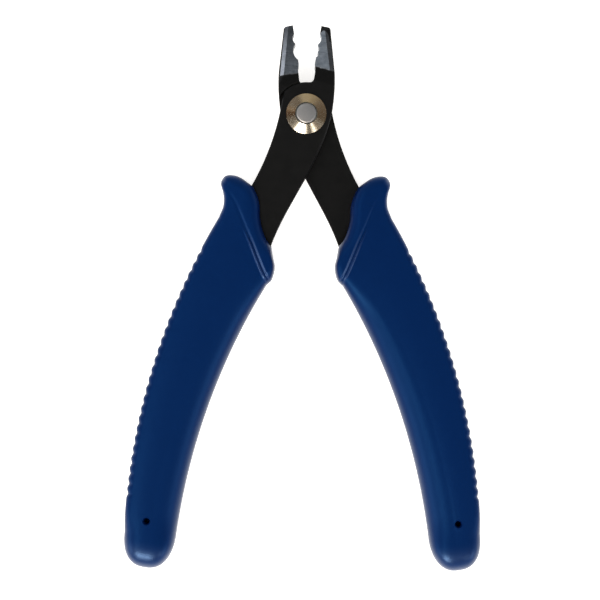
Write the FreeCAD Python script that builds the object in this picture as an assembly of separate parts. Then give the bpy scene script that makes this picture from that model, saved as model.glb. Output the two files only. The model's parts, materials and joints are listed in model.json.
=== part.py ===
"""Crimping pliers for jewellery work: two flat steel arms lapped and riveted like scissors, a hidden
torsion spring in the lap, a coned collar on each side of the pivot and a moulded grip on each arm.

The tool lies on its side, as on a bench. +Y points to the jaws, +X is to the right seen from above
and +Z is up, along the pivot. The origin is on the bench, under the centre of the bounding box.

An arm is drawn in its own frame: pivot axis at the origin, jaws closed, handle on +X, jaw on -X, lap
plate below z = 0. The second arm is the first one turned over about Y, as in the real tool. Each arm
is then opened by half the working angle. Lengths are in millimetres and angles in degrees.
"""
import FreeCAD
import Part

import math
import os

from FreeCAD import Vector

# Working angle and stock
HALF_OPEN = 9.0            # each arm turns this far from jaws-closed to rest
PLATE = 3.2                # thickness of one lap plate
RUN = 0.03                 # radial running clearance on the pivot
SIDE = 0.02                # side clearance between stacked parts
LAP_FACE = 0.01            # each plate stands this far off the lap plane

# Head and jaw outline, seen from above with the jaws closed
JAW_TIP = 21.3             # pivot to jaw tip
TIP_HALF = 2.42            # half width of the closed nose at its tip
TIP_CORNER = 0.85          # corner radius of the tip, about
NOSE_END = (5.03, 10.6)    # where the straight nose runs into the rounded head
HEAD_SIDE = (5.66, 6.6)    # a point on the rounded side of the head
HEAD_HALF = 5.93           # half width of the head beside the pivot
HEAD_LOW = 2.0             # where the head's side turns into the neck
LAP_RADIUS = 7.5           # round end of the lap plate
LAP_SHOULDER = 6.0         # half width where the round end meets the side
STEP_LOW = 3.0             # the jaw's step starts above this height
STEP_GAP = 0.06            # gap between a jaw's step and the other arm's round end
FACE_GAP = 0.03            # each jaw face stands off the middle plane when closed
RELIEF = 0.42              # throat relief below the jaw faces
RELIEF_TOP = 11.9
RELIEF_FULL = 10.7
THROAT_FILLET = 1.1

# Crimp stations, cut across the jaw faces
OUTER_STATION = 18.0       # pivot to the rounding station near the tip
INNER_STATION = 14.9       # pivot to the creasing station
OUTER_RADIUS = 1.69
OUTER_DEPTH = 0.52
INNER_RADIUS = 2.8
INNER_DEPTH = 0.83
CREASE_RADIUS = 0.80       # the creasing jaw has two small hollows with a tooth between
CREASE_DEPTH = 0.45
CREASE_SPREAD = 0.62       # each small hollow from the middle of the station

# Ground flats that thin the nose
GRIND_START = {"plain": 9.82, "tooth": 10.94}  # pivot to the start of the flat at the outer edge, by jaw
GRIND_SKEW = {"plain": 0.0, "tooth": 6.0}      # by how much the start climbs towards the inner side
TIP_THICK = 3.9            # nose thickness at the tip
NOSE_BEVELS = [(0.98, 15), (0.4, 50)]           # width and tilt of the bevels down the nose's outer edges
TIP_BEVEL = 1.0            # bevel over the end of the creasing jaw
TIP_TILT = 32
EDGE_BREAK = 0.25          # rounding of the plate edges

# Neck and tang
NECK_OUT_CENTRE = (66.74, 2.33)
NECK_OUT_RADIUS = 60.63
NECK_OUT_END = -19.0       # the neck's outer arc ends at this height
NECK_IN = [(-HEAD_HALF, HEAD_LOW), (-5.07, -5.17), (-2.38, -14.71), (2.54, -29.42)]
TANG_TOP = -40.0
TANG_END = -92.0
TANG_WALL_OUT = 3.4        # plastic outside the tang
TANG_WALL_IN = 3.0         # plastic inside the tang

# Pivot stack
PIN_RADIUS = 2.0
PIN_HEAD = 2.38            # radius of the rivet's heads
HEAD_THICK = 0.85
HEAD_CROWN = 0.15          # the heads are slightly domed
HEAD_ROUND = 0.4           # rounding of the heads' edges
COLLAR_OUT = 4.73
COLLAR_RIM = 0.35          # height of the collar's rim
COLLAR_TOP = 2.62          # radius of the collar's top ring
COLLAR_HEIGHT = 1.3
COLLAR_FLOOR = 0.5         # metal under the rivet's head
POCKET_GAP = 0.2           # between a rivet head and its collar

# Return spring, in a pocket shared by the two plates
WIRE = 0.3                 # wire radius
COIL_RADIUS = 3.35
COIL_HALVES = 3            # half turns, an odd number so that both legs point down
COIL_RISE = 0.94           # height between the two legs
SPRING_POCKET = 4.1        # pocket radius
POCKET_DEPTH = 0.79        # in each plate
LEG_REACH = 6.4            # the legs end this far below the pivot, along the necks
LEG_SLOT = 0.4             # half width of the slot for a leg

# Grip, one moulding used twice
GRIP_OUT_CENTRE = (-128.20, -84.83)
GRIP_OUT_RADIUS = 155.46
GRIP_IN_CENTRE = (-141.07, -99.55)
GRIP_IN_RADIUS = 155.08
GRIP_OUT_TOP = -27.2       # the outer arc starts under the wing
GRIP_STEP = -40.9          # the inner arc starts under the flange
GRIP_CAP_TOP = -104.0      # the rounded end starts here
GRIP_CAP = [(25.45, -108.2), (23.2, -111.1), (20.1, -112.05), (17.0, -111.2), (14.75, -108.3)]
GRIP_HALF = 5.7            # half thickness
GRIP_ROUND = 2.4           # rounding of the body's long edges
MOUTH_BEVEL = 0.6          # bevel around the mouth
TANG_FIT = 0.05            # room around the tang
PIN_MARK = (21.05, -100.55)    # small hole that a mould pin leaves in each face of the end
PIN_MARK_RADIUS = 0.65
PIN_MARK_DEPTH = 4.0
GROOVE_RADIUS = 0.9
GROOVE_DEPTH = 0.4         # of the groove between flange and body
MOUTH = [(3.1, -31.9), (4.73, -30.24), (6.46, -26.68), (7.42, -22.59), (9.97, -19.25)]
WING_TOP = [(13.2, -17.25), (15.6, -17.3), (17.1, -18.5)]
WING_SIDE = [(17.1, -18.5), (16.1, -20.83), (15.55, -23.2)]
BULGE = [(1.75, -40.1), (1.36, -37.6), (2.3, -34.3), (3.1, -31.9)]
GROOVE_LINE = [(1.2, -42.4), (3.9, -38.3), (7.8, -31.9), (12.6, -24.3), (18.2, -18.9)]


def at(x, y, z=0.0):
    return Vector(x, y, z)


def line(a, b):
    return Part.makeLine(at(*a), at(*b))


def arc(a, b, c):
    return Part.Arc(at(*a), at(*b), at(*c)).toShape()


def curve(points, start=None, end=None):
    """A smooth curve through the points, with end directions if they are given."""
    spline = Part.BSplineCurve()
    vectors = [at(*p) for p in points]
    if start is None:
        spline.interpolate(vectors)
    else:
        spline.interpolate(vectors, InitialTangent=at(*start), FinalTangent=at(*end))
    return spline.toShape()


def on_circle(centre, radius, y, side=1):
    """The right-hand point of a circle at height y, or the left-hand one."""
    return (centre[0] + side * math.sqrt(radius ** 2 - (y - centre[1]) ** 2), y)


def along_circle(centre, radius, y_from, y_to):
    """An arc of the circle's right-hand side between two heights."""
    middle = (y_from + y_to) / 2
    points = [on_circle(centre, radius, y) for y in (y_from, middle, y_to)]
    return arc(*points)


def down_circle(centre, point):
    """Unit direction along a circle at a point, pointing to lower y."""
    dx, dy = point[0] - centre[0], point[1] - centre[1]
    length = math.hypot(dx, dy)
    return (dy / length, -dx / length)


def prism(edges, low, high):
    """The solid between two heights over a closed outline."""
    face = Part.Face(Part.Wire(Part.__sortEdges__(edges)))
    face.translate(at(0, 0, low))
    return face.extrude(at(0, 0, high - low))


def cylinder(radius, low, high, x=0.0, y=0.0):
    return Part.makeCylinder(radius, high - low, at(x, y, low))


def block(x0, x1, y0, y1, z0, z1):
    return Part.makeBox(x1 - x0, y1 - y0, z1 - z0, at(x0, y0, z0))


def turned(profile):
    """A solid of revolution about Z from (radius, height) points."""
    points = [at(r, 0, z) for r, z in profile]
    face = Part.Face(Part.makePolygon(points + points[:1]))
    return face.revolve(at(0, 0, 0), at(0, 0, 1), 360)


def flipped(shape):
    """The same shape turned over about Y."""
    return shape.rotated(at(0, 0, 0), at(0, 1, 0), 180)


# Arms

def arm_outline(room=0.0):
    """The arm's plan, from the jaw tip round the handle side and back; room widens the neck and tang."""
    tip_in = (-FACE_GAP, JAW_TIP)
    tip_out = (-TIP_HALF + TIP_CORNER, JAW_TIP - 0.05)
    corner = (-TIP_HALF + 0.22, JAW_TIP - 0.3)
    nose_top = (-TIP_HALF, JAW_TIP - TIP_CORNER)
    nose_end = (-NOSE_END[0], NOSE_END[1])
    head_side = (-HEAD_SIDE[0], HEAD_SIDE[1])
    neck_in = [(x - room, y) for x, y in NECK_IN]

    tang_in = GRIP_IN_RADIUS + TANG_WALL_IN - room
    tang_out = GRIP_OUT_RADIUS - TANG_WALL_OUT + room
    neck_out = NECK_OUT_RADIUS - room
    in_top = on_circle(GRIP_IN_CENTRE, tang_in, TANG_TOP)
    in_end = on_circle(GRIP_IN_CENTRE, tang_in, TANG_END)
    out_top = on_circle(GRIP_OUT_CENTRE, tang_out, TANG_TOP)
    out_end = on_circle(GRIP_OUT_CENTRE, tang_out, TANG_END)
    end_mid = ((in_end[0] + out_end[0]) / 2, TANG_END - (out_end[0] - in_end[0]) / 2)
    neck_end = on_circle(NECK_OUT_CENTRE, neck_out, NECK_OUT_END, -1)
    neck_mid = on_circle(NECK_OUT_CENTRE, neck_out, (NECK_OUT_END + NECK_OUT_CENTRE[1]) / 2, -1)
    neck_top = (NECK_OUT_CENTRE[0] - neck_out, NECK_OUT_CENTRE[1])
    neck_up = down_circle(NECK_OUT_CENTRE, neck_end)
    neck_down = (-neck_up[0], -neck_up[1])

    shoulder = (LAP_SHOULDER, math.sqrt(LAP_RADIUS ** 2 - LAP_SHOULDER ** 2))
    reach = LAP_RADIUS + THROAT_FILLET
    centre = (-RELIEF + THROAT_FILLET, math.sqrt(reach ** 2 - (-RELIEF + THROAT_FILLET) ** 2))
    on_lap = (centre[0] * LAP_RADIUS / reach, centre[1] * LAP_RADIUS / reach)
    on_throat = (-RELIEF, centre[1])
    to_lap = math.atan2(on_lap[1] - centre[1], on_lap[0] - centre[0]) % (2 * math.pi)
    half_way = (math.pi + to_lap) / 2
    fillet_mid = (centre[0] + THROAT_FILLET * math.cos(half_way),
                  centre[1] + THROAT_FILLET * math.sin(half_way))
    lap_angle = (math.atan2(shoulder[1], shoulder[0]) + math.atan2(on_lap[1], on_lap[0])) / 2
    lap_mid = (LAP_RADIUS * math.cos(lap_angle), LAP_RADIUS * math.sin(lap_angle))

    return [
        line(tip_in, tip_out),
        arc(tip_out, corner, nose_top),
        line(nose_top, nose_end),
        arc(nose_end, head_side, neck_in[0]),
        curve(neck_in + [in_top], (0, -1), down_circle(GRIP_IN_CENTRE, in_top)),
        along_circle(GRIP_IN_CENTRE, tang_in, TANG_TOP, TANG_END),
        arc(in_end, end_mid, out_end),
        along_circle(GRIP_OUT_CENTRE, tang_out, TANG_END, TANG_TOP),
        curve([neck_end, out_top], neck_down, down_circle(GRIP_OUT_CENTRE, out_top)),
        arc(neck_end, neck_mid, neck_top),
        line(neck_top, shoulder),
        arc(shoulder, lap_mid, on_lap),
        arc(on_lap, fillet_mid, on_throat),
        line(on_throat, (-RELIEF, RELIEF_FULL)),
        line((-RELIEF, RELIEF_FULL), (-FACE_GAP, RELIEF_TOP)),
        line((-FACE_GAP, RELIEF_TOP), tip_in),
    ]


def station_cuts(kind):
    """What is milled across the jaw faces: plain hollows, or the creasing pair with its tooth."""
    def hollow(y, radius, depth):
        return cylinder(radius, -2 * PLATE, 2 * PLATE, radius - depth - FACE_GAP, y)

    cuts = [hollow(OUTER_STATION, OUTER_RADIUS, OUTER_DEPTH)]
    if kind == "plain":
        cuts.append(hollow(INNER_STATION, INNER_RADIUS, INNER_DEPTH))
    else:
        for side in (-1, 1):
            cuts.append(hollow(INNER_STATION + side * CREASE_SPREAD, CREASE_RADIUS, CREASE_DEPTH))
    return cuts


def jaw_block(outline):
    """The far half of the jaw's thickness: it stops at a round step that clears the other arm's lap."""
    block_all = prism(outline, -LAP_FACE, PLATE)
    jaw = block_all.common(block(-20, 20, STEP_LOW, 40, -1, PLATE + 1))
    jaw = jaw.cut(cylinder(LAP_RADIUS + STEP_GAP, -1, PLATE + 1))
    return jaw.cut(block(-RELIEF - 0.05, 5, 5, 8.8, -1, PLATE + 1))


def edges_on(shape, z, keep):
    """The edges of a shape that lie at height z and pass the keep test at their middle."""
    found = []
    for edge in shape.Edges:
        box = edge.BoundBox
        if abs(box.ZMin - z) < 1e-4 and abs(box.ZMax - z) < 1e-4:
            middle = edge.valueAt((edge.FirstParameter + edge.LastParameter) / 2)
            if keep(middle):
                found.append(edge)
    return found


def grinding_wheels(kind):
    """The two wedges of metal ground off the nose, above and below."""
    start = GRIND_START[kind]
    slope = math.degrees(math.atan2(PLATE - TIP_THICK / 2, JAW_TIP - start))
    wedge = block(-15, 25, 0, 30, 0, 10)
    wedge.rotate(at(0, 0, 0), at(1, 0, 0), -slope)
    wedge.rotate(at(0, 0, 0), at(0, 0, 1), GRIND_SKEW[kind])
    wedge.translate(at(-NOSE_END[0], start, PLATE))
    return both_faces([wedge])


def both_faces(cutters):
    """The cutters and their mirror images below the lap plane."""
    return cutters + [cutter.mirror(at(0, 0, 0), at(0, 0, 1)) for cutter in cutters]


def plane_cutter(point, run, outward, tilt):
    """A thick slab above the plane through a point, along run and tilted down towards outward."""
    angle = math.radians(tilt)
    normal = outward * math.sin(angle) + at(0, 0, math.cos(angle))
    normal = normal - run * normal.dot(run)
    normal.normalize()
    across = run.cross(normal)
    corners = [point + run * a + across * b for a, b in ((-16, -6), (16, -6), (16, 6), (-16, 6))]
    return Part.Face(Part.makePolygon(corners + corners[:1])).extrude(normal * 6)


def bevel_cutters(kind):
    """The slabs that bevel the outer edges of the ground nose, and the creasing jaw's tip."""
    start = GRIND_START[kind]
    fall = (PLATE - TIP_THICK / 2) / (JAW_TIP - start)
    low = at(-NOSE_END[0], start, PLATE)
    top_y = JAW_TIP - TIP_CORNER
    top = at(-TIP_HALF, top_y, PLATE - fall * (top_y - start))
    run = (top - low).normalize()
    outward = at(-run.y, run.x, 0).normalize()
    slabs = [plane_cutter(low - outward * width, run, outward, tilt) for width, tilt in NOSE_BEVELS]
    if kind == "tooth":
        tip_y = JAW_TIP - TIP_BEVEL
        tip = at(-TIP_HALF / 2, tip_y, PLATE - fall * (tip_y - start))
        slabs.append(plane_cutter(tip, at(1, 0, 0), at(0, 1, 0), TIP_TILT))
    return both_faces(slabs)


def make_arm(kind):
    outline = arm_outline()
    plate = prism(outline, -PLATE, -LAP_FACE)
    plate = plate.makeChamfer(EDGE_BREAK, edges_on(plate, -PLATE, lambda p: p.x < -0.6 or p.y < 7))
    jaw = jaw_block(outline)
    jaw = jaw.makeChamfer(EDGE_BREAK, edges_on(jaw, PLATE, lambda p: p.x < -2.0 and p.y > 5.5))
    arm = plate.fuse(jaw).removeSplitter()
    for cutter in pivot_cuts() + station_cuts(kind) + grinding_wheels(kind) + bevel_cutters(kind):
        arm = arm.cut(cutter)
    return arm


# Pivot stack and spring

def make_rivet():
    """The pin with its two domed heads."""
    seat = PLATE + SIDE + COLLAR_FLOOR
    crest = seat + HEAD_THICK + HEAD_CROWN
    dome = (PIN_HEAD ** 2 + HEAD_CROWN ** 2) / (2 * HEAD_CROWN)
    head = cylinder(PIN_HEAD, seat, crest).common(Part.makeSphere(dome, at(0, 0, crest - dome)))
    head = head.makeFillet(HEAD_ROUND, edges_on(head, seat + HEAD_THICK, lambda p: True))
    return cylinder(PIN_RADIUS, -seat, seat).multiFuse([head, flipped(head)]).removeSplitter()


def make_collar():
    """The front collar: a low cone with a pocket for the rivet's head."""
    base = PLATE + SIDE
    floor = base + COLLAR_FLOOR
    top = base + COLLAR_HEIGHT
    bore = PIN_RADIUS + RUN
    pocket = PIN_HEAD + POCKET_GAP
    return turned([(bore, base), (COLLAR_OUT, base), (COLLAR_OUT, base + COLLAR_RIM),
                   (COLLAR_TOP, top), (pocket, top), (pocket, floor), (bore, floor)])


def make_spring():
    """A torsion spring: half turns of wire, tilted to and fro as they climb, and a leg down each neck."""
    rise = COIL_RISE / COIL_HALVES
    tilt = math.atan2(rise / 2, COIL_RADIUS)
    pieces = []
    for k in range(COIL_HALVES):
        turn = Part.makeTorus(COIL_RADIUS / math.cos(tilt), WIRE, at(0, 0, 0), at(0, 0, 1), 0, 360, 180)
        turn.rotate(at(0, 0, 0), at(0, 0, 1), 180 * k)
        turn.rotate(at(0, 0, 0), at(0, 1, 0), math.degrees(tilt) * (-1) ** k)
        turn.translate(at(0, 0, rise * k - rise * (COIL_HALVES - 1) / 2))
        pieces.append(turn)
    for side in (1, -1):
        start = at(side * COIL_RADIUS, 0, -side * COIL_RISE / 2)
        pieces.append(Part.makeCylinder(WIRE, LEG_REACH, start, at(0, -1, 0)))
    return pieces[0].multiFuse(pieces[1:])


def pivot_cuts():
    """The bore, the spring's pocket and the slot for its leg, in an arm's lap plate."""
    slot = block(COIL_RADIUS - LEG_SLOT, COIL_RADIUS + LEG_SLOT, -LEG_REACH - 0.1, 0,
                 -LAP_FACE - POCKET_DEPTH, 0)
    slot.rotate(at(0, 0, 0), at(0, 0, 1), -HALF_OPEN)
    return [cylinder(SPRING_POCKET, -LAP_FACE - POCKET_DEPTH, 0), slot]


# Grips

def grip_outline():
    """The grip's plan: mouth, wing, outer arc, rounded end, inner arc and the flange's bulge."""
    out_top = on_circle(GRIP_OUT_CENTRE, GRIP_OUT_RADIUS, GRIP_OUT_TOP)
    out_end = on_circle(GRIP_OUT_CENTRE, GRIP_OUT_RADIUS, GRIP_CAP_TOP)
    in_end = on_circle(GRIP_IN_CENTRE, GRIP_IN_RADIUS, GRIP_CAP_TOP)
    in_top = on_circle(GRIP_IN_CENTRE, GRIP_IN_RADIUS, GRIP_STEP)
    up = down_circle(GRIP_IN_CENTRE, in_end)
    return [
        curve(MOUTH + WING_TOP),
        curve(WING_SIDE + [out_top], (-0.55, -0.85), down_circle(GRIP_OUT_CENTRE, out_top)),
        along_circle(GRIP_OUT_CENTRE, GRIP_OUT_RADIUS, GRIP_OUT_TOP, GRIP_CAP_TOP),
        curve([out_end] + GRIP_CAP + [in_end], down_circle(GRIP_OUT_CENTRE, out_end), (-up[0], -up[1])),
        along_circle(GRIP_IN_CENTRE, GRIP_IN_RADIUS, GRIP_CAP_TOP, GRIP_STEP),
        line(in_top, BULGE[0]),
        curve(BULGE),
    ]


def tang_pocket():
    """The space for an arm's neck and tang, a little larger than the steel."""
    return prism(arm_outline(TANG_FIT), -PLATE - TANG_FIT, TANG_FIT)


def groove_cutter(z):
    """A round bar along the line between the flange and the body."""
    path = Part.Wire(curve(GROOVE_LINE))
    first = Vector(*GROOVE_LINE[0], 0)
    direction = path.Edges[0].tangentAt(path.Edges[0].FirstParameter)
    ring = Part.Wire(Part.makeCircle(GROOVE_RADIUS, first, direction))
    bar = path.makePipeShell([ring], True, True)
    bar.translate(at(0, 0, z))
    return bar


def make_grip():
    grip = prism(grip_outline(), -GRIP_HALF, GRIP_HALF)
    for z in (-GRIP_HALF, GRIP_HALF):
        rim = edges_on(grip, z, lambda p: p.y > -32 and p.x < 15.5)
        grip = grip.makeChamfer(MOUTH_BEVEL, rim)
        body = edges_on(grip, z, lambda p: p.y < -45)
        grip = grip.makeFillet(GRIP_ROUND, body)
    level = GRIP_HALF + GROOVE_RADIUS - GROOVE_DEPTH
    for z in (-level, level):
        grip = grip.cut(groove_cutter(z))
    grip = grip.cut(tang_pocket())
    mark = cylinder(PIN_MARK_RADIUS, GRIP_HALF - PIN_MARK_DEPTH, GRIP_HALF + 1, *PIN_MARK)
    return grip.cut(both_faces([mark])).Solids[0]


def open_out(shape, arm):
    """Turn a part of one arm from jaws-closed to the rest pose."""
    shape.rotate(at(0, 0, 0), at(0, 0, 1), HALF_OPEN if arm == "rear" else -HALF_OPEN)
    return shape


def build():
    """Every piece of the tool about the pivot, by node name."""
    rear_arm = make_arm("plain").cut(cylinder(PIN_RADIUS, -2 * PLATE, PLATE))
    front_arm = make_arm("tooth").cut(cylinder(PIN_RADIUS + RUN, -2 * PLATE, PLATE))
    grip = make_grip()
    return {
        "rear_arm": open_out(rear_arm, "rear"),
        "front_arm": open_out(flipped(front_arm), "front"),
        "pivot_rivet": make_rivet(),
        "front_collar": make_collar(),
        "rear_collar": flipped(make_collar()),
        "return_spring": make_spring(),
        "right_grip": open_out(grip.copy(), "rear"),
        "left_grip": open_out(flipped(grip), "front"),
    }


if __name__ == "__main__":
    parts = build()
    size = Part.makeCompound(list(parts.values())).optimalBoundingBox(False, False)
    bench = at(-size.Center.x, -size.Center.y, -size.ZMin)
    os.makedirs("parts", exist_ok=True)
    for name, shape in parts.items():
        shape.translate(bench)
        shape.exportStep("parts/%s.step" % name)
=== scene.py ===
import json
import math

import bpy
import bmesh
import numpy as np
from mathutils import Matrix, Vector

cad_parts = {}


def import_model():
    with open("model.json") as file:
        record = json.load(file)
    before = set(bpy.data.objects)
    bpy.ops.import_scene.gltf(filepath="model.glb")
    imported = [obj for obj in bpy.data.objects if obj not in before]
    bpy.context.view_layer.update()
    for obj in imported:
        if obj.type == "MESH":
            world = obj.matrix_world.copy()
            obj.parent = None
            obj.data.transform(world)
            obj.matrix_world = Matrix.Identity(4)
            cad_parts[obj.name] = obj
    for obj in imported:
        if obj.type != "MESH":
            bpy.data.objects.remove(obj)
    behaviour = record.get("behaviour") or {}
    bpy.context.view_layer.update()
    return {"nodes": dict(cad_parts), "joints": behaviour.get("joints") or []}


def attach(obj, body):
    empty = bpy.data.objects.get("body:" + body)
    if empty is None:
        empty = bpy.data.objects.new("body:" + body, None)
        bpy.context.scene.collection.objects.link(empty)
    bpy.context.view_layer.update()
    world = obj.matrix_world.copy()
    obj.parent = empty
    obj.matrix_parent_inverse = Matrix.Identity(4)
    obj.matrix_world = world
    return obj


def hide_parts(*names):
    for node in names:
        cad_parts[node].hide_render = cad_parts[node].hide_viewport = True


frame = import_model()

MM = 0.001
NODES = frame["nodes"]
PIVOT = Vector(frame["joints"][0]["pos_m"])
HALF_OPEN = math.radians(9.0)       # each arm's turn from jaws closed to rest

# ---------------------------------------------------------------- grips
# A grip is drawn in millimetres about the pivot, jaws closed, handle on +X, then turned to rest.
# Its plan outline is two arcs, closed by the guard at the top and by a rounded end.
OUT_CENTRE, OUT_RADIUS = np.array((-128.20, -84.83)), 155.40
IN_CENTRE, IN_RADIUS = np.array((-141.07, -99.55)), 155.08
CAP_TOP, CAP_END = -104.0, -112.03

# The guard's lines. RIM is the mouth's edge and RIDGE the line where the flange ends, both from the
# palm side outwards. BULGE is the outline on the palm side and WING_SIDE on the outer side, going down.
RIM = [(3.1, -31.9), (4.73, -30.24), (6.46, -26.68), (7.42, -22.59), (9.1, -19.6), (10.5, -18.45),
       (13.2, -17.25), (15.2, -17.15), (16.45, -17.6), (17.05, -18.5)]
RIDGE = [(2.1, -40.6), (3.9, -38.3), (6.0, -34.9), (7.8, -31.9), (10.0, -28.5), (12.6, -24.3),
         (14.5, -22.0), (16.25, -20.4)]
BULGE = [(3.1, -31.9), (2.3, -34.3), (1.55, -36.2), (1.36, -37.6), (1.45, -39.0), (1.72, -40.1),
         (2.1, -40.6)]
BULGE_FOOT = (40.5, 41.3)           # depths between which the bulge runs into the palm side's arc
WING_SIDE = [(17.05, -18.5), (17.12, -19.2), (16.95, -20.0), (16.2, -21.6), (15.75, -23.2),
             (15.66, -25.0), (16.18, -27.2)]
WING_FOOT = WING_SIDE[-1][1]

# Sections through the grip. In the guard they go from the rim to the ridge, and below it they tilt
# and bow less and less, until they lie straight across.
GUARD_RUN = (1.9, 8.7)              # height from rim to ridge, on the outer and on the palm side
GUARD_STEPS = [(0, 0.08, 14), (0.08, 0.86, 34), (0.86, 1.0, 22)]    # share of that run
BODY_STEPS = [(-20.4, -22.2, 26), (-22.2, -33.0, 40), (-33.0, -98.0, 340), (-98.0, -104.0, 16)]
TILT = [(-20.4, -40.6, 1.0), (-22.2, -42.3, 0.92), (-25.0, -44.6, 0.80), (-31.0, -48.8, 0.60),
        (-42.0, -55.2, 0.32), (-55.0, -62.6, 0.14), (-70.0, -73.4, 0.04), (-85.0, -85.8, 0.0),
        (-104.0, -104.0, 0.0)]      # outer height, palm height, share of the ridge's bow
CAP_RINGS = 34
CAP_LAST = math.radians(89)         # the end closes with a small face, not a point
CAP_POWER = 2 / 2.3                 # the end's outline is a little fuller than an ellipse

# Half a section, from the palm side over the top to the outer side: stretch, number of points
PROFILE_STEPS = [("side_in", 4), ("round_in", 14), ("top", 26), ("round_out", 9), ("side_out", 5)]
BODY_HALF = 5.35                    # half thickness of the body
CROWN = 0.22                        # how much the top is crowned
NARROW = 8.0                        # below this width the corners shrink with the section
# Corners, as (across, through)
RIM_ROUND = (2.6, 2.3)              # at the mouth
IN_ROUND = (6.0, 4.8)               # along the palm side
LIP_ROUND = (2.0, 2.2)              # the same corner, at the flange's bulge
OUT_ROUND = (2.0, 1.7)              # along the outer side
PALM_ROUNDING = (37.0, 53.0)        # depths between which the palm corner goes from lip to full
END_OVAL = (98.5, 107.5)            # depths between which the section turns into an oval
OVAL_POWER = 3.0
CAP_ROUND = 6.0                     # the last stretch is domed through the full thickness
DOME_POWER = 2.5

# The guard's relief. Ranges across are in millimetres from the ridge, negative on the flange. Each
# feature fades out towards the outer side, over a range of the section's width.
LIP_RISE, LIP_EDGE, LIP_FADE = 0.30, (-0.85, -0.20), (0.60, 0.97)
BEAD_RISE, BEAD_FLANKS, BEAD_FADE = 0.20, (-0.20, 0.35, 0.85), (0.35, 0.62)
GROOVE_DEPTH, GROOVE_AT, GROOVE_WIDTH, GROOVE_FADE = 0.08, -0.15, 0.25, (0.5, 0.9)

# The scalloped outer edge
SCALLOPS = (-33.6, -97.4)
SCALLOP_PITCH = 2.4
SCALLOP_DEPTH = 0.34
SCALLOP_FADE = 2.5                  # at both ends of the row
SCALLOP_REACH = (1.9, 0.3)          # how far in from the edge a scallop starts and is at full depth

# Blind pin marks in both faces, and the room around the steel where it enters the grip
PIN_MARK, PIN_MARK_RADIUS, PIN_MARK_DEPTH = (21.05, -100.55), 0.65, 3.6
PIN_FLARE = [(1.0, 1.1), (-0.15, 0.22), (-0.45, 0.05), (-1.0, 0.0)]     # height, added radius
PIN_CHAMFER = 0.35
PIN_SIDES = 40
NECK_LOW, NECK_GAP = -3.2, 0.2
NECK_ROOM = [(1.0, -24.5), (2.35, -29.5), (2.9, -32.0), (3.8, -36.0), (5.16, -40.0), (7.1, -45.0),
             (18.75, -45.0), (17.3, -40.0), (14.75, -32.0), (12.72, -26.0), (10.19, -19.0),
             (8.84, -15.0), (1.0, -15.0)]

# Where a highlight is painted into the plastic's colour, which is also smoother and more specular
# there: the two slopes of the guard line and the very end
SLOPE_AT, SLOPE_WIDTH = 0.42, 0.22
SLOPE_START, SLOPE_FADE = (0.0, 0.08), (0.15, 0.60)     # shares of the ridge from the palm side
END_HIGHLIGHT, END_HIGHLIGHT_RANGE = 0.32, (105.0, 108.5)

CURVE_STEPS = 40                    # points between two given points of a curve
WELD = 2e-6                         # metres
SHARP_EDGE = math.radians(48)


def even(line, count):
    """The same line with evenly spaced points."""
    length = np.concatenate([[0], np.cumsum(np.linalg.norm(np.diff(line, axis=0), axis=1))])
    at = np.linspace(0, length[-1], count)
    return np.column_stack([np.interp(at, length, line[:, k]) for k in (0, 1)])


def catmull(points, count):
    """A smooth open curve through the points, evenly spaced along its length."""
    p = np.array(points, float)
    p = np.vstack([2 * p[0] - p[1], p, 2 * p[-1] - p[-2]])
    t = np.linspace(0, 1, CURVE_STEPS, endpoint=False)[:, None]
    out = []
    for a, b, c, d in zip(p, p[1:], p[2:], p[3:]):
        out.append(0.5 * (2 * b + (c - a) * t + (2 * a - 5 * b + 4 * c - d) * t ** 2
                          + (3 * b - a - 3 * c + d) * t ** 3))
    out.append(p[-2][None])
    return even(np.vstack(out), count)


def smooth(x, low, high):
    """0 below low, 1 above high, and smooth in between."""
    t = np.clip((x - low) / (high - low), 0, 1)
    return t * t * (3 - 2 * t)


def circle_x(centre, radius, y):
    """x of a circle's right side at height y."""
    return centre[0] + np.sqrt(radius ** 2 - (y - centre[1]) ** 2)


def x_on(line, y):
    """x of a line that goes steadily down, at heights y."""
    order = np.argsort(line[:, 1])
    return np.interp(y, line[order, 1], line[order, 0])


def bow(points):
    """How far a line bows away from the straight line between its ends, at the SHARE steps."""
    line = catmull(points, len(SHARE))
    return line - (line[0] + (line[-1] - line[0]) * SHARE[:, None])


SHARE = np.linspace(0, 1, 60)
RIM_BOW, RIDGE_BOW = bow(RIM), bow(RIDGE)
RIM_LINE, RIDGE_LINE = catmull(RIM, 500), catmull(RIDGE, 500)
BULGE_LINE, WING_LINE = catmull(BULGE, 200), catmull(WING_SIDE, 200)
PROFILE = [(kind, t) for kind, count in PROFILE_STEPS
           for t in np.linspace(0, 1, count, endpoint=kind == "side_out")]


def inner_edge(y):
    """x of the palm-side outline at height y."""
    bulge = x_on(BULGE_LINE, y)
    return bulge + (circle_x(IN_CENTRE, IN_RADIUS, y) - bulge) * smooth(-y, *BULGE_FOOT)


def outer_edge(y):
    """x of the outer outline at height y, without the scallops."""
    return x_on(WING_LINE, y) if y > WING_FOOT else circle_x(OUT_CENTRE, OUT_RADIUS, y)


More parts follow.
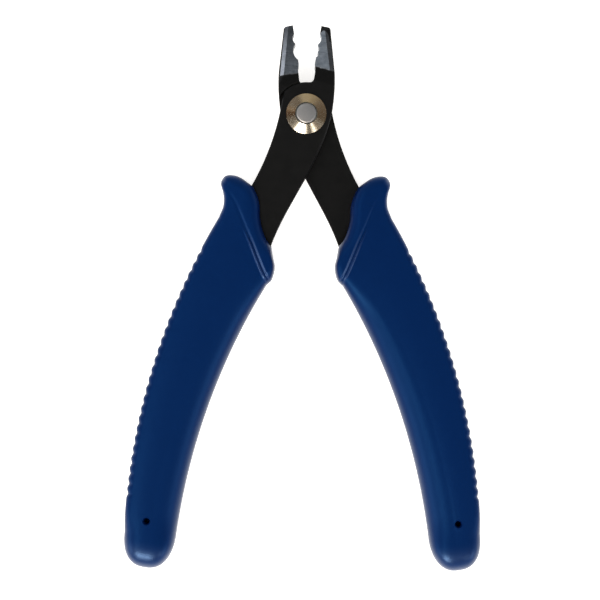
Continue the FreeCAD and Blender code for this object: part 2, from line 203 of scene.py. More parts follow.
def section(width, corner, oval):
    """(distance from the palm side, height) of half a section; corner and oval go from 0 to 1."""
    fit = min(1.0, width / NARROW)
    ax = (LIP_ROUND[0] + (IN_ROUND[0] - LIP_ROUND[0]) * corner) * fit
    az = LIP_ROUND[1] + (IN_ROUND[1] - LIP_ROUND[1]) * corner
    bx, bz = OUT_ROUND[0] * fit, OUT_ROUND[1]
    h = BODY_HALF
    crown = CROWN * fit
    out = []
    for kind, t in PROFILE:
        if kind == "side_in":
            x, z = 0.0, t * (h - az)
        elif kind == "round_in":
            a = t * math.pi / 2
            x, z = ax * (1 - math.cos(a)), h - az + (az - crown) * math.sin(a)
        elif kind == "top":
            s = 2 * t - 1
            x, z = ax + (width - ax - bx) * t, h - crown * s * s
        elif kind == "round_out":
            a = (1 - t) * math.pi / 2
            x, z = width - bx * (1 - math.cos(a)), h - bz + (bz - crown) * math.sin(a)
        else:
            x, z = width, (1 - t) * (h - bz)
        across = abs(2 * x / width - 1)
        z_oval = h * max(1 - across ** OVAL_POWER, 0) ** (1 / OVAL_POWER)
        z_oval *= z / h if kind in ("side_in", "side_out") else 1.0
        out.append((x, z + (z_oval - z) * oval))
    return np.array(out)


def distance(points, line):
    """Distance of each point from the nearest point of a line."""
    return np.min(np.linalg.norm(points[:, None] - line[None], axis=2), axis=1)


def relief(to_ridge, u):
    """Height added by the flange, the bead and the groove, across the section's shares u."""
    lip = LIP_RISE * (1 - smooth(to_ridge, *LIP_EDGE)) * (1 - smooth(u, *LIP_FADE))
    foot, top, end = BEAD_FLANKS
    bead = BEAD_RISE * (smooth(to_ridge, foot, top) - smooth(to_ridge, top, end))
    bead = bead * (1 - smooth(u, *BEAD_FADE))
    groove = GROOVE_DEPTH * np.exp(-((to_ridge - GROOVE_AT) / GROOVE_WIDTH) ** 2)
    return lip + bead - groove * (1 - smooth(u, *GROOVE_FADE))


def scallop(run, first, last):
    """Depth of the scallops, round lobes between narrow valleys, at a length along the outer edge."""
    if not first < run < last:
        return 0.0
    lobe = abs(math.sin(math.pi * (run - first) / SCALLOP_PITCH))
    wave = 1 - (lobe + lobe * lobe) / 2
    ends = smooth(run, first, first + SCALLOP_FADE) * (1 - smooth(run, last - SCALLOP_FADE, last))
    return SCALLOP_DEPTH * wave * ends


def dome(from_end):
    """Share of the thickness that is left at this distance from the end."""
    e = max(1 - from_end / CAP_ROUND, 0)
    return max(1 - e ** DOME_POWER, 1e-4) ** (1 / DOME_POWER)


def ring(a, b, corner, oval, bend=None, on_flange=False, notch=0.0, thick=1.0):
    """One closed ring of (x, y, z) points from palm side a to outer side b."""
    width = np.linalg.norm(b - a)
    half = section(width, corner, oval)
    u = half[:, 0] / width
    plan = a + (b - a) * u[:, None]
    if bend is not None:
        plan = plan + np.column_stack([np.interp(u, SHARE, bend[:, k]) for k in (0, 1)])
    to_ridge = distance(plan, RIDGE_LINE) * (-1 if on_flange else 1)
    z = half[:, 1] * (BODY_HALF + relief(to_ridge, u)) / BODY_HALF
    inside = np.clip(distance(plan, RIM_LINE) / RIM_ROUND[0], 0, 1)
    near = RIM_ROUND[1] * (1 - np.sqrt(np.maximum(1 - (1 - inside) ** 2, 0)))
    z = z * (1 - near / BODY_HALF) * thick
    side = smooth(u * width, width - SCALLOP_REACH[0], width - SCALLOP_REACH[1])
    plan = plan + (a - b) / width * (notch * side)[:, None]
    top = np.column_stack([plan, z])
    bottom = np.column_stack([plan, -z])[-2:0:-1]
    return np.vstack([top, bottom])


def spaced(steps, with_last):
    """Values through (from, to, count) stretches, with or without the very last one."""
    return np.concatenate([np.linspace(low, high, count, endpoint=with_last and k == len(steps) - 1)
                           for k, (low, high, count) in enumerate(steps)])


def stations():
    """(outer height, palm height, share of the rim's bow, share of the ridge's) of each section."""
    rows = [(RIM[-1][1] - GUARD_RUN[0] * f, RIM[0][1] - GUARD_RUN[1] * f, 1 - f, f)
            for f in spaced(GUARD_STEPS, False)]
    outs, ins, bows = np.array(TILT).T
    rows += [(v, np.interp(-v, -outs, ins), 0.0, np.interp(-v, -outs, bows))
             for v in spaced(BODY_STEPS, True)]
    return rows


def grip_rings():
    """The grip's closed skin, as one ring of points per section from the rim to the end."""
    rows = stations()
    edge = np.array([(outer_edge(y), y) for y, _, _, _ in rows])
    runs = np.concatenate([[0], np.cumsum(np.linalg.norm(np.diff(edge, axis=0), axis=1))])
    first, last = (np.interp(-y, -edge[:, 1], runs) for y in SCALLOPS)
    rings = []
    for b, run, (_, yi, w_rim, w_ridge) in zip(edge, runs, rows):
        a = np.array((inner_edge(yi), yi))
        rings.append(ring(a, b, smooth(-yi, *PALM_ROUNDING), smooth(-yi, *END_OVAL),
                          w_rim * RIM_BOW + w_ridge * RIDGE_BOW, w_rim > 0, scallop(run, first, last)))
    a = np.array((circle_x(IN_CENTRE, IN_RADIUS, CAP_TOP), CAP_TOP))
    b = np.array((circle_x(OUT_CENTRE, OUT_RADIUS, CAP_TOP), CAP_TOP))
    middle, half = (a + b) / 2, (b - a) / 2
    drop = CAP_TOP - CAP_END
    for angle in np.linspace(0, CAP_LAST, CAP_RINGS)[1:]:
        s, c = math.sin(angle) ** CAP_POWER, math.cos(angle) ** CAP_POWER
        centre = middle - np.array((0, drop * s))
        rings.append(ring(centre - half * c, centre + half * c, 1.0,
                          smooth(drop * s - CAP_TOP, *END_OVAL), thick=dome(drop * (1 - s))))
    return rings


def turned(points, angle):
    """(x, y) of points turned about the origin."""
    c, s = math.cos(angle), math.sin(angle)
    x, y = points[:, 0], points[:, 1]
    return np.column_stack([x * c - y * s, x * s + y * c])


def to_rest(points, side):
    """Grip points in millimetres, drawn on +X, to the frame, for the right (+1) or left (-1) grip."""
    p = np.array(points, float)
    if side < 0:
        p = p * np.array((-1, 1, -1))
    return np.column_stack([turned(p, HALF_OPEN * side), p[:, 2]]) * MM + np.array(PIVOT)


def mesh_object(name, vertices, faces):
    mesh = bpy.data.meshes.new(name)
    mesh.from_pydata([tuple(v) for v in vertices], [], faces)
    mesh.update()
    obj = bpy.data.objects.new(name, mesh)
    bpy.context.scene.collection.objects.link(obj)
    return obj


def tube_faces(rings, count):
    """Quads between neighbouring rings of count points each."""
    faces = []
    for k in range(rings - 1):
        for i in range(count):
            j = (i + 1) % count
            faces.append((k * count + i, k * count + j, (k + 1) * count + j, (k + 1) * count + i))
    return faces


def closed_tube(vertices, count):
    """A tube of rings of count points with a flat face at both ends, as (vertices, faces)."""
    ends = [tuple(range(count))[::-1], tuple(range(len(vertices) - count, len(vertices)))]
    return vertices, ends + tube_faces(len(vertices) // count, count)


def extruded(outline, low, high):
    """A prism over a plan outline."""
    return closed_tube([(x, y, z) for z in (low, high) for x, y in outline], len(outline))


def flared_pin(x, y, radius, face, depth):
    """A round blind pin into a face at a height (negative: the lower face), wider at its mouth."""
    sign = math.copysign(1, face)
    rows = [(height, radius + more) for height, more in PIN_FLARE]
    rows += [(PIN_CHAMFER - depth, radius), (-depth, radius - PIN_CHAMFER)]
    turn = [2 * math.pi * i / PIN_SIDES for i in range(PIN_SIDES)]
    return closed_tube([(x + r * math.cos(a), y + r * math.sin(a), face + sign * height)
                        for height, r in rows for a in turn], PIN_SIDES)


def clean_up(mesh, weld=False):
    """Make the faces point outwards, after merging points that lie on each other."""
    bm = bmesh.new()
    bm.from_mesh(mesh)
    if weld:
        bmesh.ops.remove_doubles(bm, verts=bm.verts, dist=WELD)
        bmesh.ops.dissolve_degenerate(bm, edges=bm.edges, dist=1e-7)
    bmesh.ops.recalc_face_normals(bm, faces=bm.faces)
    bm.to_mesh(mesh)
    bm.free()


def cut_away(obj, side, cutters):
    """Take shapes drawn in the grip's own millimetres out of a grip already at rest."""
    for vertices, faces in cutters:
        tool = mesh_object("cutter", to_rest(vertices, side), faces)
        clean_up(tool.data)
        boolean = obj.modifiers.new("cut", "BOOLEAN")
        boolean.operation = "DIFFERENCE"
        boolean.solver = "EXACT"
        boolean.object = tool
        bpy.context.view_layer.update()
        solved = obj.evaluated_get(bpy.context.evaluated_depsgraph_get())
        result = bpy.data.meshes.new_from_object(solved)
        obj.modifiers.clear()
        old = obj.data
        obj.data = result
        bpy.data.meshes.remove(old)
        bpy.data.objects.remove(tool)


def mark_painted_highlight(obj, side):
    """Store how strongly each point gets the painted highlight, for the plastic's material."""
    points = np.array([v.co for v in obj.data.vertices])
    plan = turned((points - np.array(PIVOT)) / MM, -HALF_OPEN * side) * np.array((side, 1))
    gaps = np.linalg.norm(plan[:, None] - catmull(RIDGE, 200)[None], axis=2)
    along = gaps.argmin(axis=1) / (gaps.shape[1] - 1)
    painted_highlight = np.exp(-((gaps.min(axis=1) - SLOPE_AT) / SLOPE_WIDTH) ** 2)
    painted_highlight = painted_highlight * (1 - smooth(along, *SLOPE_FADE)) * smooth(along, *SLOPE_START)
    painted_highlight = np.maximum(painted_highlight, END_HIGHLIGHT * smooth(-plan[:, 1], *END_HIGHLIGHT_RANGE))
    layer = obj.data.attributes.new("painted_highlight", "FLOAT", "POINT")
    layer.data.foreach_set("value", painted_highlight.astype(np.float32))


def end_faces():
    """Faces that close a ring across its thickness. Each straight side belongs to one face."""
    half = len(PROFILE)
    n = 2 * half - 2
    kinds = [kind for kind, _ in PROFILE]
    first = kinds.index("round_in") + 1
    last = kinds.index("side_out") - 1
    below = [(n - i) % n for i in range(half)]
    faces = [below[first:0:-1] + list(range(first + 1)),
             list(range(last, half)) + below[half - 2:last - 1:-1]]
    faces += [(i, i + 1, below[i + 1], below[i]) for i in range(first, last)]
    return faces


def make_grip(name, side, node, body, material):
    """A grip that replaces its CAD node and rides on its arm's body."""
    rings = grip_rings()
    n = len(rings[0])
    faces = tube_faces(len(rings), n)
    for end in (0, len(rings) - 1):
        faces += [tuple(end * n + corner for corner in face) for face in end_faces()]
    obj = mesh_object(name, to_rest(np.vstack(rings), side), faces)
    clean_up(obj.data, weld=True)
    obj.data.materials.append(material)
    cut_away(obj, side, [flared_pin(*PIN_MARK, PIN_MARK_RADIUS, BODY_HALF, PIN_MARK_DEPTH),
                         flared_pin(*PIN_MARK, PIN_MARK_RADIUS, -BODY_HALF, PIN_MARK_DEPTH),
                         extruded(NECK_ROOM, NECK_LOW - NECK_GAP, NECK_GAP)])
    mark_painted_highlight(obj, side)
    for polygon in obj.data.polygons:
        polygon.use_smooth = True
    obj.data.set_sharp_from_angle(angle=SHARP_EDGE)
    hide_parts(node)
    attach(obj, body)


# ---------------------------------------------------------------- node trees
class Nodes:
    """A short way to write a node tree."""

    def __init__(self, tree):
        self.tree = tree
        self.tree.nodes.clear()

    def add(self, kind, **settings):
        node = self.tree.nodes.new(kind)
        for key, value in settings.items():
            setattr(node, key, value)
        return node

    def put(self, socket, value):
        if isinstance(value, bpy.types.NodeSocket):
            self.tree.links.new(value, socket)
        else:
            socket.default_value = value

    def math(self, operation, *values, clamp=False):
        node = self.add("ShaderNodeMath", operation=operation, use_clamp=clamp)
        for socket, value in zip(node.inputs, values):
            self.put(socket, value)
        return node.outputs[0]

    def vector(self, operation, a, b, output="Vector"):
        node = self.add("ShaderNodeVectorMath", operation=operation)
        self.put(node.inputs[0], a)
        self.put(node.inputs["Scale" if operation == "SCALE" else 1], b)
        return node.outputs[output]

    def mix(self, factor, a, b):
        node = self.add("ShaderNodeMix", data_type="RGBA")
        self.put(node.inputs["Factor"], factor)
        self.put(node.inputs[6], a)
        self.put(node.inputs[7], b)
        return node.outputs[2]

    def band(self, value, low, high):
        """0 below low, 1 above high, and smooth in between."""
        node = self.add("ShaderNodeMapRange", interpolation_type="SMOOTHSTEP")
        self.put(node.inputs["Value"], value)
        self.put(node.inputs["From Min"], low)
        self.put(node.inputs["From Max"], high)
        return node.outputs[0]

    def ramp(self, factor, stops):
        node = self.add("ShaderNodeValToRGB")
        self.put(node.inputs["Fac"], factor)
        elements = node.color_ramp.elements
        while len(elements) < len(stops):
            elements.new(0.5)
        for element, (position, colour) in zip(elements, stops):
            element.position = position
            element.color = (*colour, 1)
        return node.outputs["Color"]

    def split(self, vector):
        node = self.add("ShaderNodeSeparateXYZ")
        self.put(node.inputs[0], vector)
        return tuple(node.outputs)


class Material(Nodes):
    """A named Principled material."""

    def __init__(self, name):
        self.material = bpy.data.materials.new(name)
        self.material.use_nodes = True
        super().__init__(self.material.node_tree)
        self.shader = self.add("ShaderNodeBsdfPrincipled")
        out = self.add("ShaderNodeOutputMaterial")
        self.put(out.inputs["Surface"], self.shader.outputs["BSDF"])
        self.at = self.add("ShaderNodeTexCoord").outputs["Object"]

    def noise(self, scale, detail=4.0, rough=0.55):
        return self.noise_on(self.at, scale, detail, rough)

    def streaks(self, scale, turn=0.0):
        """Noise stretched by one scale per axis, turned by degrees in plan."""
        node = self.add("ShaderNodeMapping")
        self.put(node.inputs["Vector"], self.at)
        node.inputs["Scale"].default_value = scale
        node.inputs["Rotation"].default_value = (0, 0, math.radians(turn))
        return self.noise_on(node.outputs["Vector"], 1.0, 3.0, 0.55)

    def noise_on(self, vector, scale, detail, rough):
        node = self.add("ShaderNodeTexNoise")
        settings = {"Vector": vector, "Scale": scale, "Detail": detail, "Roughness": rough}
        for key, value in settings.items():
            self.put(node.inputs[key], value)
        return node.outputs["Fac"]

    def bump(self, height, strength, distance):
        node = self.add("ShaderNodeBump")
        for key, value in {"Height": height, "Strength": strength, "Distance": distance}.items():
            self.put(node.inputs[key], value)
        return node.outputs["Normal"]

    def finish(self, **inputs):
        for key, value in inputs.items():
            self.put(self.shader.inputs[key.replace("_", " ")], value)
        return self.material


# ---------------------------------------------------------------- materials
# Colours are linear, the darker and the lighter tone of each surface.
NAVY = (0.0001, 0.0053, 0.040, 1), (0.0003, 0.0071, 0.049, 1)
# The next colour is a painted highlight for the guard line's slopes and the grips' ends.
NAVY_PAINTED_HIGHLIGHT = (0.004, 0.020, 0.085, 1)
DUST = (0.03, 0.05, 0.10, 1)
SHEEN, SHEEN_AT_HIGHLIGHT = (0.09, 0.43, 1.0, 1), (0.36, 0.60, 1.0, 1)
BLACKENED = (0.0026, 0.0024, 0.0021, 1), (0.0044, 0.0041, 0.0037, 1)
# lighter edge colour of the black steel: partly wear, partly a painted highlight
BLACK_EDGE_WORN_AND_LIT = (0.009, 0.009, 0.010, 1)
OXIDE = (0.0034, 0.0032, 0.0029, 1)
COLLAR = (0.58, 0.53, 0.43, 1), (0.68, 0.62, 0.50, 1)
RIVET = (0.38, 0.35, 0.32, 1), (0.50, 0.46, 0.425, 1)
WIRE = (0.30, 0.30, 0.31, 1), (0.42, 0.42, 0.43, 1)
FLOOR = (0.88, 0.88, 0.88, 1), (0.90, 0.90, 0.90, 1)
FLOOR_GLOW, FLOOR_GLOW_STRENGTH = (1.0, 0.975, 0.94, 1), 0.60
# Lit and shaded copies of one ground steel: the left jaw's flat is painted shade and its bevel a
# painted highlight, the right jaw's flat a painted highlight and its bevel painted shade.
STEEL_LEFT_FLAT_PAINTED_SHADE = (0.095, 0.10, 0.105), (0.21, 0.215, 0.23)
STEEL_LEFT_EDGE_PAINTED_HIGHLIGHT = (0.22, 0.225, 0.24), (0.38, 0.39, 0.41)
STEEL_RIGHT_FLAT_PAINTED_HIGHLIGHT = (0.20, 0.215, 0.235), (0.38, 0.40, 0.43)
STEEL_RIGHT_EDGE_PAINTED_SHADE = (0.055, 0.06, 0.065), (0.12, 0.125, 0.13)

# The ground nose, in millimetres from the pivot. The grinding starts at a line through a point,
# rising outwards by some degrees.
LEFT_START, RIGHT_START = ((-4.29, 9.26), 8.4), ((3.96, 10.74), -15.0)
RIGHT_ARCH = (4.0, 17.2, 1.25, 2.5)         # centre and radii: the steel ends above this arch
START_BLUR = 0.3                            # how softly the steel starts
START_WANDER = 0.6                          # how much the start line wanders
# painted shade: the jaws' ground steel darkens towards their ends
TIP_SHADE = (11.5, 8.5)                      # the height where a tip starts to darken, and the climb
NOSE_FROM, NOTCH_FROM, NOTCH_REACH = 8.0, 11.4, 0.9
FACE_UP, BEVEL_UP, UPRIGHT = 0.985, 0.85, 0.2       # z of a flat's, a bevel's and a wall's normal
BEVEL_FORWARD, NOTCH_SIDEWAYS = 0.02, 0.2           # least y of a bevel's and x of a notch's normal


def grip_paint():
    """Satin moulded navy plastic: fine leathery grain, flow mottling, dust, and a painted highlight,
    lighter and more specular, along the guard line's slopes and at the end.
    """
    m = Material("navy_moulded_plastic")
    flow = m.noise(160.0, 3.0)
    fine = m.noise(2300.0, 4.0, 0.6)
    speck = m.noise(5200.0, 2.0)
    painted_highlight = m.add("ShaderNodeAttribute", attribute_name="painted_highlight").outputs["Fac"]
    colour = m.mix(m.math("ADD", flow, 0.5), *NAVY)
    dust = m.ramp(speck, [(0.70, (0, 0, 0)), (0.78, (1, 1, 1))])
    colour = m.mix(m.math("MULTIPLY", dust, 0.05), colour, DUST)
    # painted highlight: lighter navy along the guard line's slopes and at the grip's end
    colour = m.mix(m.math("MULTIPLY", painted_highlight, 0.5), colour, NAVY_PAINTED_HIGHLIGHT)
    rough = m.math("MULTIPLY_ADD", fine, 0.16, 0.29)
    rough = m.math("SUBTRACT", rough, m.math("MULTIPLY", painted_highlight, 0.14))
    highlight_tint = m.math("MULTIPLY", painted_highlight, 2.6, clamp=True)
    return m.finish(Base_Color=colour, Roughness=rough, IOR=1.5, Normal=m.bump(fine, 0.22, 0.00012),
                    Specular_IOR_Level=m.math("MULTIPLY_ADD", painted_highlight, 0.6, 0.40),
                    Specular_Tint=m.mix(highlight_tint, SHEEN, SHEEN_AT_HIGHLIGHT))


def black_oxide():
    """Blackened ground steel: nearly black, slightly mottled, lengthwise grain, edges lighter, partly
    worn greyer and partly a painted highlight.
    """
    m = Material("black_oxide_steel")
    mottle = m.noise(420.0, 5.0)
    grain = m.streaks((2600.0, 320.0, 2600.0))
    fine = m.noise(3800.0, 3.0)
    bevel = m.add("ShaderNodeBevel", samples=6)
    bevel.inputs["Radius"].default_value = 0.00012
    flat = m.add("ShaderNodeNewGeometry").outputs["Normal"]
    # lighter rounded edges: partly wear, partly a painted highlight
    edge = m.math("SUBTRACT", 1.0, m.vector("DOT_PRODUCT", bevel.outputs[0], flat, "Value"))
    edge = m.math("MULTIPLY", edge, m.math("MULTIPLY", fine, 6.0), clamp=True)
    rough = m.math("ADD", m.math("MULTIPLY", grain, 0.15), m.math("MULTIPLY_ADD", mottle, 0.2, 0.30))
    normal = m.bump(grain, 0.05, 0.00004)
    m.put(normal.node.inputs["Normal"], bevel.outputs[0])
    return m.finish(Base_Color=m.mix(edge, m.mix(mottle, *BLACKENED), BLACK_EDGE_WORN_AND_LIT), Metallic=0.0,
                    Roughness=rough, Normal=normal, Specular_IOR_Level=0.12)


def ground_steel(name, tones, start, arch=None, tip=1.0):
    """Bare ground steel, mottled, with grinding marks, in a lit or shaded tone (painted highlight or
    painted shade), and where asked darker towards the jaw's end as painted shade; black below the start
    line and past the arch.
    """
    m = Material(name)
    mottle = m.noise(900.0, 5.0, 0.6)
    marks = m.streaks((500.0, 6500.0, 500.0), turn=12)
    tone = m.math("ADD", m.math("MULTIPLY", mottle, 0.65), m.math("MULTIPLY", marks, 0.35))
    colour = m.ramp(tone, list(zip((0.32, 0.68), tones)))
    x, y, _ = m.split(m.at)
    x, y = m.math("SUBTRACT", x, PIVOT.x), m.math("SUBTRACT", y, PIVOT.y)
    uneven = m.math("SUBTRACT", mottle, 0.5)

    (start_x, start_y), rise = start
    slope = -math.tan(math.radians(rise))
    line = m.math("MULTIPLY_ADD", m.math("SUBTRACT", x, start_x * MM), slope,
                  m.math("SUBTRACT", y, start_y * MM))
    line = m.math("MULTIPLY_ADD", uneven, START_WANDER * MM, line)
    black = m.math("SUBTRACT", 0.5, m.math("DIVIDE", line, START_BLUR * MM), clamp=True)
    if arch:
        cx, cy, rx, ry = (value * MM for value in arch)
        dx = m.math("DIVIDE", m.math("SUBTRACT", x, cx), rx)
        dy = m.math("DIVIDE", m.math("SUBTRACT", y, cy), ry)
        out = m.math("ADD", m.math("MULTIPLY", dx, dx), m.math("MULTIPLY", dy, dy))
        out = m.math("MULTIPLY_ADD", uneven, 0.25, out)
        above = m.math("MULTIPLY", m.math("SUBTRACT", out, 0.92), 5.0, clamp=True)
        above = m.math("MULTIPLY", above, m.math("GREATER_THAN", y, cy))
        black = m.math("MAXIMUM", black, above)
    # painted shade: darker towards the jaw's end
    if tip != 1.0:
        low, climb = TIP_SHADE
        share = m.math("DIVIDE", m.math("SUBTRACT", y, low * MM), climb * MM, clamp=True)
        colour = m.vector("SCALE", colour, m.math("MULTIPLY_ADD", share, tip - 1.0, 1.0))
    metal = m.math("MULTIPLY_ADD", black, -0.9, 0.9)
    rough = m.math("MULTIPLY_ADD", marks, 0.16, 0.22)
    return m.finish(Base_Color=m.mix(black, colour, OXIDE), Metallic=metal, Roughness=rough,
                    Normal=m.bump(marks, 0.12, 0.00005), Specular_IOR_Level=0.12)


def turned_metal():
    """Turned and polished collar: warm-toned bright metal with concentric tool marks."""
    m = Material("turned_collar_metal")
    x, y, _ = m.split(m.vector("SUBTRACT", m.at, PIVOT))
    radius = m.math("SQRT", m.math("ADD", m.math("MULTIPLY", x, x), m.math("MULTIPLY", y, y)))
    lathe = m.add("ShaderNodeTexNoise", noise_dimensions="1D")
    m.put(lathe.inputs["W"], m.math("MULTIPLY", radius, 16000.0))
    lathe.inputs["Detail"].default_value = 3.0
    marks = lathe.outputs[0]
    return m.finish(Base_Color=m.mix(m.noise(1200.0, 3.0), *COLLAR), Metallic=1.0,
                    Roughness=m.math("MULTIPLY_ADD", marks, 0.10, 0.13),
                    Normal=m.bump(marks, 0.10, 0.00002))


def rivet_metal():
    """Ground rivet end: grey steel with a soft cloudy grain."""
    m = Material("ground_rivet_steel")
    fine = m.streaks((1500.0, 7000.0, 1500.0), turn=25)
    return m.finish(Base_Color=m.mix(m.noise(700.0, 4.0), *RIVET), Metallic=1.0,
                    Roughness=m.math("MULTIPLY_ADD", fine, 0.16, 0.36),
                    Normal=m.bump(fine, 0.08, 0.00004))


def spring_wire():
    """Drawn wire: plain bright grey steel."""
    m = Material("drawn_spring_wire")
    fine = m.noise(3000.0, 3.0)
    return m.finish(Base_Color=m.mix(fine, *WIRE), Metallic=1.0,
                    Roughness=m.math("MULTIPLY_ADD", fine, 0.2, 0.25))


def floor_paint():
    """Pale matt floor. Its own glow keeps it near the paper white of a product picture."""
    m = Material("pale_floor")
    return m.finish(Base_Color=m.mix(m.noise(60.0, 3.0), *FLOOR), Roughness=0.85,
                    Specular_IOR_Level=0.15, Emission_Color=FLOOR_GLOW,
                    Emission_Strength=FLOOR_GLOW_STRENGTH)


def paint(node, *materials):
    """Give a CAD piece its materials, and return its polygons."""
    slots = NODES[node].data.materials
    slots.clear()
    for material in materials:
        slots.append(material)
    return NODES[node].data.polygons


def paint_arm(node, turn, flat, edge):
    """Black arm, turned this far from jaws closed, with bare steel where the nose has been ground."""
    black_slot, flat_slot, edge_slot = range(3)
    c, s = math.cos(-turn), math.sin(-turn)
    for polygon in paint(node, black_oxide(), flat, edge):
        at, n = (polygon.center - PIVOT) / MM, polygon.normal
        x, y = at.x * c - at.y * s, at.x * s + at.y * c
        nx, ny = n.x * c - n.y * s, n.x * s + n.y * c
        top = y > NOSE_FROM and abs(n.z) > FACE_UP
        bevel = y > NOSE_FROM and abs(n.z) > BEVEL_UP and ny > BEVEL_FORWARD
        notch = (y > NOTCH_FROM and abs(x) < NOTCH_REACH
                 and abs(n.z) < UPRIGHT and abs(nx) > NOTCH_SIDEWAYS)
        if top or notch:
            polygon.material_index = flat_slot
        elif bevel:
            polygon.material_index = edge_slot
        else:
            polygon.material_index = black_slot


# ---------------------------------------------------------------- light and camera
WHITE = 1.13        # the studio as the camera and matt surfaces see it
# The studio as shiny surfaces see it, around the horizon: 0 looks to -X, 0.25 to -Y, 0.5 to +X
# and 0.75 to +Y
AROUND = [(0.0, (0.085, 0.048, 0.022)), (0.06, (0.105, 0.075, 0.045)), (0.12, (0.30, 0.27, 0.23)),
          (0.25, (0.09, 0.065, 0.04)), (0.31, (0.09, 0.065, 0.04)), (0.36, (0.30, 0.22, 0.14)),
          (0.42, (0.12, 0.085, 0.050)), (0.52, (0.13, 0.09, 0.055)), (0.62, (0.17, 0.115, 0.065)),
          (0.72, (0.44, 0.34, 0.19)), (0.78, (0.48, 0.38, 0.23)), (0.82, (0.17, 0.12, 0.075)),
          (0.90, (0.16, 0.11, 0.06)), (0.94, (0.30, 0.20, 0.11)), (0.965, (0.11, 0.055, 0.025)),
          (1.0, (0.085, 0.048, 0.022))]
CEILING, CEILING_FROM = (0.34, 0.42, 0.50, 1), (0.80, 0.90)         # colour, direction's z
HORIZON, HORIZON_TO = (0.62, 0.82, 1.05, 1), (0.30, 0.57)
OVERHEAD, OVERHEAD_SIZE = (0.03, 0.03, 0.03, 1), (5, 17)            # colour, degrees
# Reflection cards: azimuth, angle from straight up, full and zero radius (degrees), brightness
CARDS = [(138, 36, 5, 11, (2.3, 2.5, 2.8, 1)),
         (-160, 66, 8, 15, (3.8, 3.9, 4.0, 1)),
         (-32, 64, 8, 16, (3.0, 3.1, 3.2, 1)),
         (42, 36, 6, 11, (0.42, 0.45, 0.50, 1)),
         (-160, 27, 3, 8, (6.0, 6.0, 6.0, 1))]

# Two soft boxes: azimuth, width, height and power
KEY_LEFT, KEY_RIGHT = (-113, 0.50, 0.40, 6.8), (-57, 0.15, 0.36, 0.55)
KEY_ELEVATION, KEY_DISTANCE = 42, 0.9
KEY_COLOUR = (1.0, 0.94, 0.88)
KEY_CENTRE, KEY_EDGE = 1.9, 3.4     # brightness in the middle, and how fast it grows from the edge

CAMERA_HEIGHT = 0.36                # above the plane of the steel's front
STEEL_FRONT = 0.003                 # that plane, above the pivot
PICTURE = 600 * 0.0002355           # width of the picture there: pixels, metres per pixel
PICTURE_CENTRE = (-1.06, -43.85)    # millimetres from the pivot
PICTURE_ROLL = math.radians(0.55)
SENSOR = 36.0


def world():
    """A plain studio: white to the camera, warm and dim in reflections, with bright cards."""
    w = bpy.data.worlds.new("studio")
    bpy.context.scene.world = w
    w.use_nodes = True
    w.cycles.sampling_method = "NONE"
    m = Nodes(w.node_tree)
    way = m.add("ShaderNodeTexCoord").outputs["Generated"]
    x, y, z = m.split(way)

    def toward(azimuth, from_top, inner, outer):
        """1 within inner degrees of a direction, falling to 0 at outer degrees."""
        a, t = math.radians(azimuth), math.radians(from_top)
        middle = (math.cos(a) * math.sin(t), math.sin(a) * math.sin(t), math.cos(t))
        return m.band(m.vector("DOT_PRODUCT", way, middle, "Value"),
                      math.cos(math.radians(outer)), math.cos(math.radians(inner)))

    turn = m.math("ADD", m.math("DIVIDE", m.math("ARCTAN2", y, x), 2 * math.pi), 0.5)
    sky = m.mix(m.band(z, *CEILING_FROM), m.ramp(turn, AROUND), CEILING)
    sky = m.mix(toward(0, 0, *OVERHEAD_SIZE), sky, OVERHEAD)
    sky = m.mix(m.band(z, *HORIZON_TO), HORIZON, sky)
    for azimuth, from_top, inner, outer, colour in CARDS:
        sky = m.mix(toward(azimuth, from_top, inner, outer), sky, colour)

    path = m.add("ShaderNodeLightPath")
    pick = m.add("ShaderNodeMixShader")
    matt = m.math("MAXIMUM", path.outputs["Is Camera Ray"], path.outputs["Is Diffuse Ray"])
    m.put(pick.inputs[0], matt)
    for slot, colour, strength in ((1, sky, 1.0), (2, (1, 1, 1, 1), WHITE)):
        background = m.add("ShaderNodeBackground")
        m.put(background.inputs[0], colour)
        m.put(background.inputs[1], strength)
        m.put(pick.inputs[slot], background.outputs[0])
    m.put(m.add("ShaderNodeOutputWorld").inputs[0], pick.outputs[0])


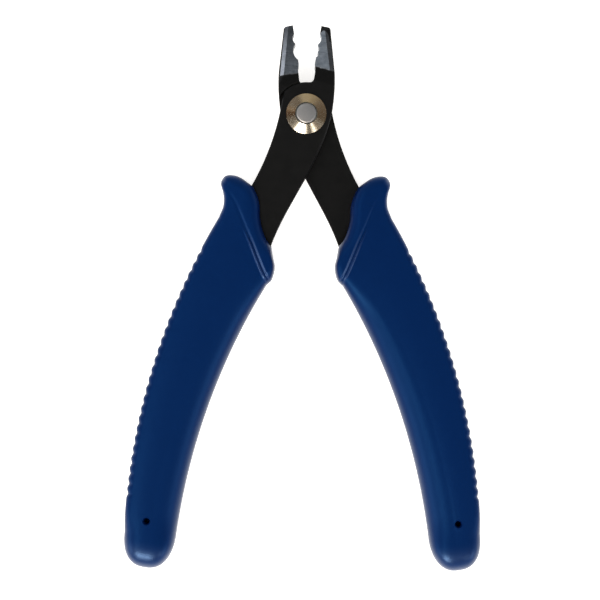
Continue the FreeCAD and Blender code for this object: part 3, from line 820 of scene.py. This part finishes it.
def softbox(name, azimuth, width, height, power):
    """A rectangular lamp that is brightest in the middle and fades to its edges."""
    light = bpy.data.lights.new(name, "AREA")
    light.shape = "RECTANGLE"
    light.size, light.size_y = width, height
    light.energy = power
    light.color = KEY_COLOUR
    light.use_nodes = True
    m = Nodes(light.node_tree)
    glow = KEY_CENTRE
    for across in m.split(m.add("ShaderNodeNewGeometry").outputs["Parametric"])[:2]:
        off_centre = m.math("ABSOLUTE", m.math("SUBTRACT", across, 0.5))
        rise = m.math("MULTIPLY", m.math("SUBTRACT", 0.5, off_centre), KEY_EDGE, clamp=True)
        glow = m.math("MULTIPLY", glow, rise)
    emission = m.add("ShaderNodeEmission")
    m.put(emission.inputs["Strength"], glow)
    m.put(m.add("ShaderNodeOutputLight").inputs[0], emission.outputs[0])

    obj = bpy.data.objects.new(name, light)
    bpy.context.scene.collection.objects.link(obj)
    a, e = math.radians(azimuth), math.radians(KEY_ELEVATION)
    away = Vector((math.cos(a) * math.cos(e), math.sin(a) * math.cos(e), math.sin(e)))
    obj.location = Vector((PIVOT.x, 0, 0)) + away * KEY_DISTANCE
    obj.rotation_mode = "QUATERNION"
    obj.rotation_quaternion = away.to_track_quat("Z", "Y")


def camera():
    """Straight above the picture's centre, turned a little so the tool stands as in the photo."""
    data = bpy.data.cameras.new("camera")
    obj = bpy.data.objects.new("camera", data)
    bpy.context.scene.collection.objects.link(obj)
    data.sensor_width = SENSOR
    data.lens = SENSOR * CAMERA_HEIGHT / PICTURE
    data.clip_start, data.clip_end = 0.01, 10.0
    x, y = PICTURE_CENTRE
    obj.location = PIVOT + Vector((x * MM, y * MM, STEEL_FRONT + CAMERA_HEIGHT))
    obj.rotation_euler = (0, 0, PICTURE_ROLL)
    bpy.context.scene.camera = obj


# ---------------------------------------------------------------- the scene
plastic = grip_paint()
make_grip("right_grip_moulding", 1, "right_grip", "rear_half", plastic)
make_grip("left_grip_moulding", -1, "left_grip", "front_half", plastic)

# Each jaw's flats and bevels get lit or shaded copies of the steel: painted highlight and painted
# shade.
paint_arm("rear_arm", HALF_OPEN,
          ground_steel("ground_steel_left_flat_painted_shade", STEEL_LEFT_FLAT_PAINTED_SHADE, LEFT_START, tip=0.5),
          ground_steel("ground_steel_left_edge_painted_highlight", STEEL_LEFT_EDGE_PAINTED_HIGHLIGHT, LEFT_START, tip=0.25))
paint_arm("front_arm", -HALF_OPEN,
          ground_steel("ground_steel_right_flat_painted_highlight", STEEL_RIGHT_FLAT_PAINTED_HIGHLIGHT, RIGHT_START, RIGHT_ARCH),
          ground_steel("ground_steel_right_edge_painted_shade", STEEL_RIGHT_EDGE_PAINTED_SHADE, RIGHT_START, RIGHT_ARCH))
collar = turned_metal()
paint("front_collar", collar)
paint("rear_collar", collar)
paint("pivot_rivet", rivet_metal())
paint("return_spring", spring_wire())

floor = mesh_object("floor", [(-3, -3, 0), (3, -3, 0), (3, 3, 0), (-3, 3, 0)], [(0, 1, 2, 3)])
floor.data.materials.append(floor_paint())

world()
softbox("key_left", *KEY_LEFT)
softbox("key_right", *KEY_RIGHT)
camera()
bpy.context.scene.view_settings.view_transform = "Standard"
